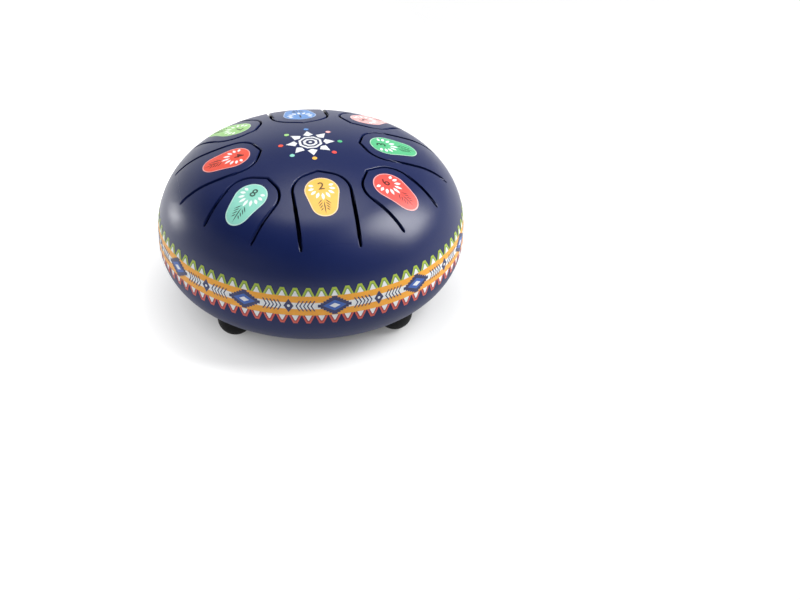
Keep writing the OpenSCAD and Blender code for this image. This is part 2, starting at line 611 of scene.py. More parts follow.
def filled(outlines: Sequence[Outline], cell: float) -> BMesh:
    """Fills flat outlines and cuts them into small cells.

    Args:
        outlines: Closed outlines that don't touch one another.
        cell: Largest width of a cell.

    Returns:
        The flat mesh, facing up.
    """
    bm = bmesh.new()
    for outline in outlines:
        bm.faces.new([bm.verts.new((x, y, 0)) for x, y in outline])
    bm.normal_update()
    bmesh.ops.triangulate(bm, faces=bm.faces, ngon_method="EAR_CLIP")
    return gridded(bm, cell)


def film(flat: BMesh, layer: Layers, place: Place) -> BMesh:
    """Gives a flat mesh its thickness and lays it on a curved surface.

    Args:
        flat: The flat mesh. It is changed.
        layer: The height of the film over the steel.
        place: Where a point of the flat goes, with its height over the steel as z.

    Returns:
        The same mesh, closed and in its place.
    """
    bmesh.ops.translate(flat, vec=(0, 0, layer.value.low), verts=flat.verts)
    lifted = bmesh.ops.extrude_face_region(flat, geom=flat.faces[:])
    top = [item for item in lifted["geom"] if isinstance(item, bmesh.types.BMVert)]
    bmesh.ops.translate(flat, vec=(0, 0, layer.value.high - layer.value.low), verts=top)
    for vert in flat.verts:
        vert.co = place(vert.co)
    bmesh.ops.recalc_face_normals(flat, faces=flat.faces)
    return flat


def disc(centre: Point, r: float, steps: int = 24) -> Outline:
    """Outline of a circle or a regular polygon."""
    angles = [2 * math.pi * i / steps for i in range(steps)]
    return [(centre[0] + r * math.cos(angle), centre[1] + r * math.sin(angle)) for angle in angles]


def skin_normals(mesh: bpy.types.Mesh, form: DrumForm) -> list[Vector]:
    """Works out normals that follow the pans' skins exactly.

    Args:
        mesh: The mesh, in millimetres.
        form: The form of the skins.

    Returns:
        The normal of each face corner, which is the mesh's own where the face isn't skin.
    """
    normals = [corner.vector.copy() for corner in mesh.corner_normals]
    for polygon in mesh.polygons:
        facing = form.skin_normal(polygon.center).dot(polygon.normal)
        if abs(facing) < SKIN_COSINE:
            continue
        for loop in polygon.loop_indices:
            corner = mesh.vertices[mesh.loops[loop].vertex_index].co
            normals[loop] = form.skin_normal(corner) * (1 if facing > 0 else -1)
    return normals


def piece(bm: BMesh, label: Label, material: bpy.types.Material,
          form: Optional[DrumForm] = None) -> None:
    """Makes a finished piece of a mesh in millimetres.

    Args:
        bm: The mesh. It is freed.
        label: The piece's name, body, slot and nodes. Its slot is not used.
        material: The piece's material.
        form: Where given, skins of the pans are shaded exactly as this form.
    """
    mesh = mesh_of(bm, label.name)
    mesh.polygons.foreach_set("use_smooth", [True] * len(mesh.polygons))
    mesh.set_sharp_from_angle(angle=math.radians(SHARP_ANGLE))
    normals = skin_normals(mesh, form) if form else None
    mesh.transform(Matrix.Scale(MM, 4))
    if normals:
        mesh.normals_split_custom_set(normals)
    mesh.materials.append(material)
    obj = linked(label.name, mesh)
    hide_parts(*label.nodes)
    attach(obj, label.body)
    LOG.info("%s on %s: %d faces", label.name, label.body, len(mesh.polygons))


# Materials


@dataclass(frozen=True)
class Ramp:
    """A change from one value to another over a span, level beyond both ends."""

    span: Point
    values: Point = (0.0, 1.0)
    smooth: bool = False


class NodeSheet:
    """Adds and links the nodes of one node tree."""

    def __init__(self, tree: bpy.types.NodeTree) -> None:
        """Starts an empty sheet on a tree."""
        self.tree = tree
        tree.nodes.clear()

    def feed(self, target: Socket, value: object) -> None:
        """Links an input, or sets its value.

        Args:
            target: The input.
            value: An output to link, or a value. A colour may leave out its alpha.
        """
        if isinstance(value, Socket):
            self.tree.links.new(value, target)
        elif target.type == "RGBA" and len(value) == 3:
            target.default_value = (*value, 1)
        else:
            target.default_value = value

    def add(self, kind: str, **values: object) -> bpy.types.Node:
        """Adds a node and sets its properties and inputs.

        Args:
            kind: The node's type.
            **values: Properties, or inputs by name with _ for a space.

        Returns:
            The node.
        """
        node = self.tree.nodes.new(kind)
        for name, value in values.items():
            if hasattr(node, name):
                setattr(node, name, value)
            else:
                self.feed(node.inputs[name.replace("_", " ")], value)
        return node

    def math(self, operation: str, first: object, second: object) -> Socket:
        """Adds a sum of two values.

        Args:
            operation: The kind of sum.
            first: A socket or a number.
            second: A socket or a number.

        Returns:
            The result's socket.
        """
        node = self.add("ShaderNodeMath", operation=operation)
        self.feed(node.inputs[0], first)
        self.feed(node.inputs[1], second)
        return node.outputs[0]

    def product(self, first: Socket, *others: object) -> Socket:
        """Multiplies any number of values.

        Args:
            first: The first value's socket.
            *others: More sockets or numbers.

        Returns:
            The product's socket.
        """
        result = first
        for other in others:
            result = self.math("MULTIPLY", result, other)
        return result

    def blend(self, share: Socket, first: object, second: object) -> Socket:
        """Adds a mix of two colours.

        Args:
            share: Share of the second colour.
            first: A colour or a socket.
            second: A colour or a socket.

        Returns:
            The mixed colour's socket.
        """
        node = self.add("ShaderNodeMix", data_type="RGBA", clamp_factor=True)
        for place, value in ((0, share), (6, first), (7, second)):
            self.feed(node.inputs[place], value)
        return node.outputs[2]

    def ramp(self, value: Socket, ramp: Ramp) -> Socket:
        """Adds a ramp.

        Args:
            value: What runs over the ramp's span.
            ramp: The span and the values at its ends.

        Returns:
            The result's socket.
        """
        node = self.add("ShaderNodeMapRange", Value=value, From_Min=ramp.span[0],
                        From_Max=ramp.span[1], To_Min=ramp.values[0], To_Max=ramp.values[1],
                        interpolation_type="SMOOTHSTEP" if ramp.smooth else "LINEAR")
        return node.outputs[0]

    def noise(self, vector: Socket, scale: object, detail: float, roughness: float) -> Socket:
        """Adds a noise.

        Args:
            vector: Where the noise is read.
            scale: Its scale, a socket or a number.
            detail: How many finer layers it has.
            roughness: How strong they are.

        Returns:
            The noise's value from 0 to 1.
        """
        node = self.add("ShaderNodeTexNoise", Vector=vector, Scale=scale, Detail=detail,
                        Roughness=roughness)
        return node.outputs[0]


def effect_group(name: str, values: dict[str, float],
                 outputs: Sequence[str]) -> tuple[NodeSheet, bpy.types.Node, bpy.types.Node]:
    """Starts a node group with a vector and values as inputs and values as outputs.

    Args:
        name: The group's name.
        values: Name and default of each value that goes in, after the vector.
        outputs: Names of the values that come out.

    Returns:
        The group's sheet, its input node and its output node.
    """
    tree = bpy.data.node_groups.new(name, "ShaderNodeTree")
    tree.interface.new_socket("Vector", in_out="INPUT", socket_type="NodeSocketVector")
    for socket, value in values.items():
        made = tree.interface.new_socket(socket, in_out="INPUT", socket_type="NodeSocketFloat")
        made.default_value = value
    for socket in outputs:
        tree.interface.new_socket(socket, in_out="OUTPUT", socket_type="NodeSocketFloat")
    sheet = NodeSheet(tree)
    return sheet, sheet.add("NodeGroupInput"), sheet.add("NodeGroupOutput")


def coat_surface() -> bpy.types.NodeTree:
    """Builds the group for a coat: its peel and grain, its clouding and its specks.

    Returns:
        The group.
    """
    sheet, source, target = effect_group(
        "coat_surface", {"Peel Scale": 700, "Grain Scale": 5200, "Grain Share": 0.4},
        ("Height", "Cloud", "Speck"))
    vector = source.outputs["Vector"]
    peel = sheet.noise(vector, source.outputs["Peel Scale"], detail=1.5, roughness=0.5)
    grain = sheet.noise(vector, source.outputs["Grain Scale"], detail=2.0, roughness=0.6)
    fine = sheet.product(grain, source.outputs["Grain Share"])
    sheet.feed(target.inputs["Height"], sheet.math("ADD", peel, fine))
    cloud = sheet.noise(vector, scale=22.0, detail=3.0, roughness=0.55)
    sheet.feed(target.inputs["Cloud"], sheet.ramp(cloud, Ramp(span=(0.32, 0.68))))
    dust = sheet.add("ShaderNodeTexVoronoi", Vector=vector, Scale=150.0, Randomness=1.0)
    speck = sheet.ramp(dust.outputs["Distance"], Ramp(span=(0.05, 0.02)))
    sheet.feed(target.inputs["Speck"], speck)
    return sheet.tree


def ink_surface() -> bpy.types.NodeTree:
    """Builds the group for printed ink: its fine tooth and its uneven cover.

    Returns:
        The group.
    """
    sheet, source, target = effect_group("ink_surface", {"Tooth Scale": 6500},
                                         ("Height", "Cover"))
    vector = source.outputs["Vector"]
    tooth = sheet.noise(vector, source.outputs["Tooth Scale"], detail=2.0, roughness=0.5)
    sheet.feed(target.inputs["Height"], tooth)
    cover = sheet.noise(vector, scale=420.0, detail=4.0, roughness=0.7)
    sheet.feed(target.inputs["Cover"], sheet.ramp(cover, Ramp(span=(0.3, 0.7))))
    return sheet.tree


class Effect(Enum):
    """The shared effects, each with the name of the mask that it puts out."""

    COAT = "Cloud"
    INK = "Cover"


class Effects:
    """The node groups that several materials share."""

    def __init__(self) -> None:
        """Builds every group once."""
        self.groups = {Effect.COAT: coat_surface(), Effect.INK: ink_surface()}


@dataclass(frozen=True)
class Finish:
    """A surface of one colour that a shared effect makes a little uneven.

    tone_shares scale the colour, and rough_steps are added to the roughness, where the
    effect's mask is 0 and where it is 1. relief is the bump's strength and its distance in
    metres. scales are inputs of the effect that aren't left at their defaults.
    """

    name: str
    colour: Colour
    roughness: float
    specular: float
    effect: Effect
    tone_shares: Point
    rough_steps: Point
    relief: Point
    scales: tuple[tuple[str, float], ...] = ()
    speck_share: float = 0.0
    speck_pale_share: float = 0.05

    def make(self, effects: Effects) -> bpy.types.Material:
        """Builds the material.

        Args:
            effects: The shared node groups.

        Returns:
            The material.
        """
        material = bpy.data.materials.new(self.name)
        material.use_nodes = True
        sheet = NodeSheet(material.node_tree)
        place = sheet.add("ShaderNodeTexCoord").outputs["Object"]
        surface = sheet.add("ShaderNodeGroup", node_tree=effects.groups[self.effect],
                            Vector=place, **dict(self.scales)).outputs
        mask = surface[self.effect.value]
        tone = sheet.blend(mask, *(scaled(self.colour, share) for share in self.tone_shares))
        if self.speck_share:
            speck = sheet.product(surface["Speck"], self.speck_share)
            tone = sheet.blend(speck, tone, paler(self.colour, self.speck_pale_share))
        rough = Ramp(span=(0.0, 1.0), values=tuple(self.roughness + step
                                                   for step in self.rough_steps))
        bump = sheet.add("ShaderNodeBump", Height=surface["Height"], Strength=self.relief[0],
                         Distance=self.relief[1])
        shader = sheet.add("ShaderNodeBsdfPrincipled", Base_Color=tone, Normal=bump.outputs[0],
                           Roughness=sheet.ramp(mask, rough),
                           Specular_IOR_Level=self.specular)
        sheet.add("ShaderNodeOutputMaterial", Surface=shader.outputs[0])
        return material


@dataclass(frozen=True)
class Enamel(Finish):
    """Satin enamel sprayed on the steel."""

    roughness: float = 0.34
    specular: float = 0.44
    effect: Effect = Effect.COAT
    tone_shares: Point = (0.94, 1.06)
    rough_steps: Point = (-0.02, 0.03)
    relief: Point = (0.05, 0.0004)
    speck_share: float = 0.25


@dataclass(frozen=True)
class Ink(Finish):
    """Printed ink under a satin varnish."""

    roughness: float = 0.4
    specular: float = 0.5
    effect: Effect = Effect.INK
    tone_shares: Point = (0.92, 1.0)
    rough_steps: Point = (0.05, -0.02)
    relief: Point = (0.06, 0.0001)


@dataclass(frozen=True)
class Rubber(Finish):
    """Matt moulded rubber with a little dust in its grain."""

    roughness: float = 0.68
    specular: float = 0.22
    effect: Effect = Effect.COAT
    tone_shares: Point = (1.0, 1.5)
    rough_steps: Point = (-0.05, 0.08)
    relief: Point = (0.25, 0.0002)
    scales: tuple[tuple[str, float], ...] = (
        ("Peel_Scale", 1500.0), ("Grain_Scale", 7000.0), ("Grain_Share", 0.8))


NAVY = linear(15, 29, 78)
BLACK = linear(12, 12, 13)
BOND_GREY = linear(120, 118, 112)
INK_NAVY = linear(30, 38, 88)
INK_BLUE = linear(48, 92, 176)
INK_WHITE = linear(234, 236, 238)
INK_ORANGE = linear(244, 168, 48)
INK_GREEN = linear(168, 190, 62)
INK_OLIVE = linear(122, 152, 78)
INK_RED = linear(208, 78, 62)
INK_WINE = linear(150, 42, 56)
# Colour of each note's mark and dot, from note 1
NOTE_INKS = (linear(88, 140, 205), linear(251, 190, 80), linear(82, 185, 128),
             linear(240, 84, 62), linear(246, 178, 176), linear(240, 78, 70),
             linear(160, 212, 128), linear(146, 219, 200))


# Pressed steel


@dataclass
class SteelPans:
    """The top with its tongues, the bowl, and the bond between them.

    edge_rings are the levels of the tools that cut the slots: how far a level is widened,
    and its height over the top's skin. Together they round the slots' edges.
    """

    form: DrumForm
    plan: TonguePlan
    steel: bpy.types.Material
    bowl_steel: bpy.types.Material
    bond: bpy.types.Material
    stem_holes: BMesh
    segments: int = 240
    slot_floor: float = 46.0
    slot_head: float = 96.0
    edge_rings: tuple[Point, ...] = ((0.0, -0.4), (0.05, -0.2), (0.19, -0.055), (0.42, 0.02))
    port_r: float = 20.0
    port_edge: float = 0.35
    port_round_share: float = 0.3
    lap_h: float = 5.0
    lap_gap: float = 0.3
    joint_gap: float = 0.03

    def build(self) -> None:
        """Builds the two pans, the eight tongues and the bond."""
        self.build_top()
        self.build_tongues()
        self.build_bowl()
        self.build_bond()

    def top_solid(self) -> BMesh:
        """The top without its slots.

        Returns:
            The closed shell.
        """
        form = self.form
        edge_z = form.seam_z + self.joint_gap
        section = form.top_line(0.0)
        section += [(form.body_r, edge_z), (form.body_r - form.wall, edge_z)]
        section += reversed(form.top_line(-form.wall))
        return lathe(section, self.segments, closed=False)

    def prism(self, outline: Callable[[float, float], Outline], step: int) -> BMesh:
        """A tool through the top's wall whose edge is rounded where it leaves the skin.

        Args:
            outline: Gives a tongue's outline for its tip's radius and a widening.
            step: The tongue's place, in tongues to the right of the front.

        Returns:
            The closed tool.
        """
        tip = self.plan.tip_r(step)

        def level(widen: float, height: Callable[[float], float]) -> list[Vector]:
            """One ring of the tool."""
            ends = [around(u, v, step * TONGUE_TURN) for u, v in outline(tip, widen)]
            return [Vector((x, y, height(math.hypot(x, y)))) for x, y in ends]

        rings = [level(0.0, lambda r: self.slot_floor)]
        for widen, lift in self.edge_rings:
            rings.append(level(widen, lambda r, lift=lift: self.form.top_z(r) + lift))
        rings.append(level(self.edge_rings[-1][0], lambda r: self.slot_head))
        return stack(rings)

    def prisms(self, outline: Callable[[float, float], Outline]) -> BMesh:
        """The tools of all the tongues."""
        return joined([self.prism(outline, step) for step in range(TONGUES)])

    def build_top(self) -> None:
        """The top pan, cut by the eight slots."""
        solid = carved(self.top_solid(), self.prisms(self.plan.cut), Carving.CUT)
        label = Label("top_pan", "drum", "enamelled_steel", ("upper_shell",))
        piece(solid, label, self.steel, self.form)

    def build_tongues(self) -> None:
        """The tongues, which are the parts of the top inside the slots."""
        solid = carved(self.top_solid(), self.prisms(self.plan.plate), Carving.KEEP)
        reach = math.cos(math.radians(TONGUE_TURN / 2))
        for note in range(1, TONGUES + 1):
            plate = solid.copy()
            middle = Vector(polar(1.0, note_turn(note)))
            others = [vert for vert in plate.verts
                      if vert.co.xy.normalized().dot(middle) < reach]
            bmesh.ops.delete(plate, geom=others, context="VERTS")
            label = Label(f"tongue_plate_{note}", f"tongue_{note}", "tongue_steel",
                          (f"tongue_{note}",))
            piece(plate, label, self.steel, self.form)
        solid.free()

    def build_bowl(self) -> None:
        """The bowl with its inner rim, the rounded sound port and the stems' holes."""
        form = self.form
        edge = self.port_edge
        corner = self.port_round_share * edge
        outer = form.body_r - form.wall - self.lap_gap
        inner = outer - form.wall
        low = form.bowl_z(self.port_r)
        high = form.bowl_z(self.port_r, -form.wall)
        section = [(self.port_r, low + edge), (self.port_r + corner, low + corner)]
        section += form.bowl_line(0.0, self.port_r + edge)
        section += [(form.body_r, form.seam_z), (outer, form.seam_z),
                    (outer, form.seam_z + self.lap_h), (inner, form.seam_z + self.lap_h),
                    (inner, form.seam_z - form.wall),
                    (form.body_r - form.wall, form.seam_z - 2 * form.wall)]
        section += reversed(form.bowl_line(-form.wall, self.port_r + edge))
        section += [(self.port_r + corner, high - corner), (self.port_r, high - edge)]
        solid = carved(lathe(section, self.segments, closed=True), self.stem_holes, Carving.CUT)
        label = Label("bowl_pan", "drum", "enamelled_steel", ("lower_shell",))
        piece(solid, label, self.bowl_steel, form)

    def build_bond(self) -> None:
        """The ring of adhesive in the lap joint."""
        form = self.form
        outer = form.body_r - form.wall - self.joint_gap
        inner = form.body_r - form.wall - self.lap_gap + self.joint_gap
        low = form.seam_z + self.joint_gap
        high = form.belt_top - self.joint_gap
        bead = (outer - inner) / 2
        section = [(inner, low), (outer, low), (outer, high - bead), ((outer + inner) / 2, high),
                   (inner, high - bead)]
        label = Label("bond_ring", "drum", "bond", ("seam_bond",))
        piece(lathe(section, self.segments, closed=True), label, self.bond)


# Prints


@dataclass(frozen=True)
class ToothTone:
    """One tone of the teeth, printed over the tone before it."""

    suffix: str
    layer: Layers
    narrower: float
    tip_w: float
    rise_share: float


@dataclass
class BeltPrint:
    """The printed belt: two rows of teeth, three stripes and a frieze of diamonds.

    Motifs are drawn flat, with lengths along the belt from the middle of a unit, and
    heights in the drum's frame. A motif's half is its half length and its half height.
    """

    form: DrumForm
    effects: Effects
    tooth_tip_z: float = 49.9
    upper_z: float = 45.5
    white_top_z: float = 41.9
    white_low_z: float = 38.2
    lower_z: float = 34.5
    drop_tip_z: float = 29.5
    stripe_segments: int = 240
    stripe_cell: float = 0.9
    cell: float = 1.5
    teeth: int = 77
    tooth_tones: tuple[ToothTone, ...] = (
        ToothTone("", Layers.GROUND, narrower=0.3, tip_w=2.0, rise_share=1.0),
        ToothTone("_line", Layers.COLOUR, narrower=2.1, tip_w=1.2, rise_share=0.77),
        ToothTone("_white", Layers.FIGURE, narrower=3.2, tip_w=0.6, rise_share=0.62))
    units: int = 11
    end_shift: float = 0.01
    stepped_half: Point = (8.4, 5.2)
    stepped_steps: int = 6
    blue_half: Point = (5.9, 3.1)
    core_half: Point = (2.7, 1.4)
    lozenge_half: Point = (2.5, 3.9)
    eye_r: float = 0.75
    eye_steps: int = 10
    chevrons: int = 5
    chevron_from: float = 9.6
    chevron_pitch: float = 1.85
    chevron_half_h: float = 3.0
    chevron_reach: float = 1.7
    chevron_stroke: float = 0.66

    @property
    def middle_z(self) -> float:
        """Height of the frieze's middle line."""
        return (self.white_top_z + self.white_low_z) / 2

    def wrapped(self, point: Vector) -> Vector:
        """The place on the belt of a point with its length, height and lift."""
        r, angle = self.form.side_r(point.y, point.z), point.x / self.form.body_r
        return Vector((r * math.sin(angle), -r * math.cos(angle), point.y))

    def add(self, bm: BMesh, name: str, colour: Colour) -> None:
        """Finishes one colour of the belt."""
        label = Label(f"belt_{name}", "drum", "belt_print", ("pattern_band",))
        piece(bm, label, Ink(f"ink_{name}", colour).make(self.effects))

    def stripe(self, name: str, low: float, high: float, layer: Layers, colour: Colour) -> None:
        """A plain stripe all round.

        Args:
            name: The colour's name.
            low: Height of the lower edge.
            high: Height of the upper edge.
            layer: The stripe's height over the steel.
            colour: The ink's colour.
        """
        steps = max(1, round((high - low) / self.stripe_cell))
        heights = [low + (high - low) * i / steps for i in range(steps + 1)]
        section = [(self.form.side_r(z, layer.value.high), z) for z in heights]
        section += [(self.form.side_r(z, layer.value.low), z) for z in reversed(heights)]
        self.add(lathe(section, self.stripe_segments, closed=True), name, colour)

    def repeat(self, outlines: Sequence[Outline], layer: Layers, count: int, name: str,
               colour: Colour) -> None:
        """Lays one motif on the belt and copies it around.

        Args:
            outlines: The motif's outlines.
            layer: The motif's height over the steel.
            count: Copies around the belt.
            name: The colour's name.
            colour: The ink's colour.
        """
        bm = film(filled(outlines, self.cell), layer, self.wrapped)
        geometry = bm.verts[:] + bm.edges[:] + bm.faces[:]
        bmesh.ops.spin(bm, geom=geometry, cent=(0, 0, 0), axis=(0, 0, 1),
                       angle=2 * math.pi * (count - 1) / count, steps=count - 1,
                       use_duplicate=True)
        self.add(bm, name, colour)

    def build_teeth(self) -> None:
        """The two rows of teeth, each in three tones."""
        pitch = 2 * math.pi * self.form.body_r / self.teeth
        rows = (("green", self.upper_z, self.tooth_tip_z, (INK_GREEN, INK_OLIVE, INK_WHITE)),
                ("red", self.lower_z, self.drop_tip_z, (INK_RED, INK_WINE, INK_WHITE)))
        for name, base, tip, colours in rows:
            for tone, colour in zip(self.tooth_tones, colours):
                foot = (pitch - tone.narrower) / 2
                end = tone.tip_w / 2
                end_z = base + tone.rise_share * (tip - base)
                tooth = [(-foot, base), (foot, base), (end, end_z), (-end, end_z)]
                self.repeat([tooth], tone.layer, self.teeth, f"teeth_{name}{tone.suffix}", colour)

    def stepped(self) -> Outline:
        """Outline of the diamond with stepped edges.

        Returns:
            The closed outline.
        """
        half_w, half_h = self.stepped_half
        steps = self.stepped_steps
        corners = []
        for i in range(steps):
            w = half_w * (steps - i) / steps
            corners += [(w, half_h * i / steps), (w, half_h * (i + 1) / steps)]
        quarter = corners[1:]
        upper = quarter + [(-w, h) for w, h in reversed(quarter)]
        whole = upper + [(-w, -h) for w, h in quarter] + [(w, -h) for w, h in reversed(quarter)]
        return [(w, h + self.middle_z) for w, h in whole]

    def diamond(self, at: float, half: Point) -> Outline:
        """Outline of a plain diamond at a length along the belt."""
        z = self.middle_z
        return [(at + half[0], z), (at, z + half[1]), (at - half[0], z), (at, z - half[1])]

    def chevron(self, at: float, hand: int) -> Outline:
        """Outline of a chevron whose point is away from the unit's middle.

        Args:
            at: Where it starts along the belt.
            hand: 1 to the right of the middle and -1 to its left.

        Returns:
            The closed outline.
        """
        z, half_h, stroke = self.middle_z, self.chevron_half_h, self.chevron_stroke
        outer = [(at, z + half_h), (at + hand * self.chevron_reach, z), (at, z - half_h)]
        inner = [(at + hand * stroke, z - half_h),
                 (at + hand * (self.chevron_reach + stroke), z),
                 (at + hand * stroke, z + half_h)]
        return outer + inner

    def build_frieze(self) -> None:
        """The diamonds and chevrons on the white stripe."""
        end = -math.pi * self.form.body_r / self.units + self.end_shift
        navy = [self.stepped()]
        for hand in (-1, 1):
            navy += [self.chevron(hand * (self.chevron_from + self.chevron_pitch * i), hand)
                     for i in range(self.chevrons)]
        navy.append(self.diamond(end, self.lozenge_half))
        eye = disc((end, self.middle_z), self.eye_r, self.eye_steps)
        for name, outlines, layer, colour in (
                ("navy", navy, Layers.FIGURE, INK_NAVY),
                ("blue", [self.diamond(0, self.blue_half)], Layers.DETAIL, INK_BLUE),
                ("white", [eye], Layers.DETAIL, INK_WHITE),
                ("core", [self.diamond(0, self.core_half)], Layers.TOP, INK_WHITE)):
            self.repeat(outlines, layer, self.units, f"frieze_{name}", colour)

    def build(self) -> None:
        """Builds the whole belt."""
        self.stripe("orange", self.lower_z, self.upper_z, Layers.GROUND, INK_ORANGE)
        self.stripe("white", self.white_low_z, self.white_top_z, Layers.COLOUR, INK_WHITE)
        self.build_teeth()
        self.build_frieze()


@dataclass
class NoteMarks:
    """The note marks: drop-shaped badges with petals, a veined stem and a digit.

    A mark is drawn flat, with u from its broad end towards the rim and v to the right. The
    petals get shorter by the radian from the middle one, and the veins by the vein. Tone
    shares scale the mark's colour, and pale shares are the way from it to white. The belly
    and taper shares are places along a petal, stem or vein, and its width at the taper.
    """

    form: DrumForm
    plan: TonguePlan
    effects: Effects
    cell: float = 1.6
    tip_gap: float = 4.9
    length: float = 24.6
    broad_r: float = 8.7
    narrow_r: float = 6.7
    arc_steps: int = 26
    rim_w: float = 0.5
    rim_pale_share: float = 0.35
    digit_at: float = 6.0
    digit_size: float = 6.8
    digit_weight: float = 0.07
    digit_steps: int = 5
    digit_tone_share: float = 0.12
    belly_share: float = 0.35
    taper_share: float = 0.7
    taper_w_share: float = 0.85
    petals: int = 9
    petal_fan: float = 105.0
    petal_shift: float = 0.5
    petal_from: float = 3.9
    petal_l: float = 4.4
    petal_shorter: float = 0.9
    petal_half_w: float = 0.78
    petal_pale_share: float = 0.88
    stem_from: float = 9.4
    stem_l: float = 8.0
    stem_half_w: float = 0.3
    stem_tone_share: float = 0.16
    veins: int = 4
    vein_radians: float = 0.75
    vein_back: float = 0.9
    vein_out: float = 0.75
    vein_pitch: float = 1.7
    vein_l: float = 3.9
    vein_shorter: float = 0.55
    vein_half_w: float = 0.27

    def drop(self, inset: float) -> Outline:
        """Outline of the badge.

        Args:
            inset: Distance by which it is drawn in.

        Returns:
            The closed outline, a broad arc and then a narrow one.
        """
        span = self.length - self.broad_r - self.narrow_r
        flare = math.acos((self.broad_r - self.narrow_r) / span)
        outline = []
        for centre, full_r, start, turn in (
                (self.broad_r, self.broad_r, flare, 2 * math.pi - 2 * flare),
                (self.broad_r + span, self.narrow_r, -flare, 2 * flare)):
            r = full_r - inset
            for i in range(self.arc_steps + 1):
                angle = start + turn * i / self.arc_steps
                outline.append((centre + r * math.cos(angle), r * math.sin(angle)))
        return outline

    def blade(self, base: Vector, along: Vector, length: float, half_w: float) -> Outline:
        """Outline of a leaf-shaped stroke.

        Args:
            base: Where it starts.
            along: Its direction.
            length: Its length.
            half_w: Half of its greatest width.

        Returns:
            The closed outline.
        """
        across = Vector((-along.y, along.x)) * half_w
        belly = base + along * length * self.belly_share
        taper = base + along * length * self.taper_share
        narrow = across * self.taper_w_share
        corners = (base, belly + across, taper + narrow, base + along * length, taper - narrow,
                   belly - across)
        return [(corner.x, corner.y) for corner in corners]

    def flower(self) -> list[Outline]:
        """The petals that fan out below the digit.

        Returns:
            Their outlines.
        """
        outlines = []
        for i in range(self.petals):
            angle = math.radians(self.petal_fan * (2 * i / (self.petals - 1) - 1))
            along = Vector((math.cos(angle), math.sin(angle)))
            base = Vector((self.digit_at + self.petal_shift, 0)) + along * self.petal_from
            length = self.petal_l - abs(angle) * self.petal_shorter
            outlines.append(self.blade(base, along, length, self.petal_half_w))
        return outlines

    def stem(self) -> list[Outline]:
        """The stem and its veins towards the narrow end.

        Returns:
            Their outlines.
        """
        start = self.digit_at + self.stem_from
        outlines = [self.blade(Vector((start, 0)), Vector((1, 0)), self.stem_l, self.stem_half_w)]
        for i in range(self.veins):
            for hand in (-1, 1):
                along = Vector((math.cos(self.vein_radians), hand * math.sin(self.vein_radians)))
                base = Vector((start - self.vein_back + self.vein_pitch * i, hand * self.vein_out))
                length = self.vein_l - self.vein_shorter * i
                outlines.append(self.blade(base, along, length, self.vein_half_w))
        return outlines

    def digit(self, note: int) -> BMesh:
        """The flat digit of a note, its top towards the axis.

        Args:
            note: The note, from 1.

        Returns:
            The flat mesh, facing up.
        """
        curve = bpy.data.curves.new("digit", "FONT")
        curve.body = str(note)
        curve.size = self.digit_size
        curve.offset = self.digit_weight
        curve.align_x = "CENTER"
        curve.align_y = "CENTER"
        curve.resolution_u = self.digit_steps
        carrier = linked("digit", curve)
        bm = applied(carrier)
        bpy.data.objects.remove(carrier)
        bpy.data.curves.remove(curve)
        bmesh.ops.remove_doubles(bm, verts=bm.verts, dist=MERGE_DIST)
        for vert in bm.verts:
            vert.co = Vector((self.digit_at - vert.co.y, vert.co.x, 0))
        bmesh.ops.triangulate(bm, faces=bm.faces)
        return gridded(bm, self.cell)

    def drape(self, note: int) -> Place:
        """Gives the place on the top of a point of a note's mark."""
        start = self.plan.tip_r(NOTE_STEPS[note - 1]) + self.tip_gap
        return lambda point: self.form.on_top(
            *around(start + point.x, point.y, note_turn(note)), point.z)

    def build_mark(self, note: int) -> None:
        """One note mark with its rim, petals, veins and digit.

        Args:
            note: The note, from 1.
        """
        colour = NOTE_INKS[note - 1]
        for part, flat, layer, tone in (
                ("rim", filled([self.drop(0.0)], self.cell), Layers.GROUND,
                 paler(colour, self.rim_pale_share)),
                ("field", filled([self.drop(self.rim_w)], self.cell), Layers.COLOUR, colour),
                ("petals", filled(self.flower(), self.cell), Layers.FIGURE,
                 paler(colour, self.petal_pale_share)),
                ("veins", filled(self.stem(), self.cell), Layers.FIGURE,
                 scaled(colour, self.stem_tone_share)),
                ("digit", self.digit(note), Layers.DETAIL, scaled(colour, self.digit_tone_share))):
            label = Label(f"mark_{note}_{part}", f"tongue_{note}", f"mark_{note}_print",
                          (f"note_mark_{note}",))
            ink = Ink(f"ink_mark_{note}_{part}", tone)
            piece(film(flat, layer, self.drape(note)), label, ink.make(self.effects))

    def build(self) -> None:
        """Builds the eight marks."""
        for note in range(1, TONGUES + 1):
            self.build_mark(note)


